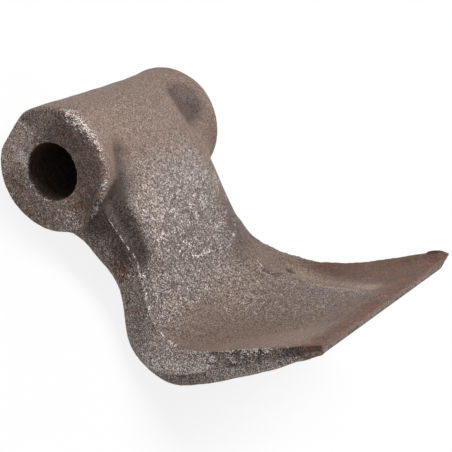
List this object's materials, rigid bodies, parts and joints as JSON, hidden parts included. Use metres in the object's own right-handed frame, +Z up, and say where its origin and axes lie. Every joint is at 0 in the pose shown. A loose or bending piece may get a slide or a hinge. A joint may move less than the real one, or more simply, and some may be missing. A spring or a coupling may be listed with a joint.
{
  "type": "shredder hammer",
  "caption": "Forged swinging hammer for a shredder rotor: a bored boss, a crowned web and a scoop blade that turns up to a straight ground cutting edge.",
  "frame": {"origin": "middle of the pin bore, on the hammer's plane of symmetry", "axes": "+Y along the pin bore, +Z up with the hammer lying on the back of its boss and on its heel, +X from the bore toward the cutting edge"},
  "size_m": [0.1075, 0.0842, 0.0517],
  "materials": {
    "forged_steel": "rough forged scale, blasted, with light rust at the cutting edge"
  },
  "bodies": {
    "root": {"hammer": "forged_steel"}
  },
  "joints": []
}
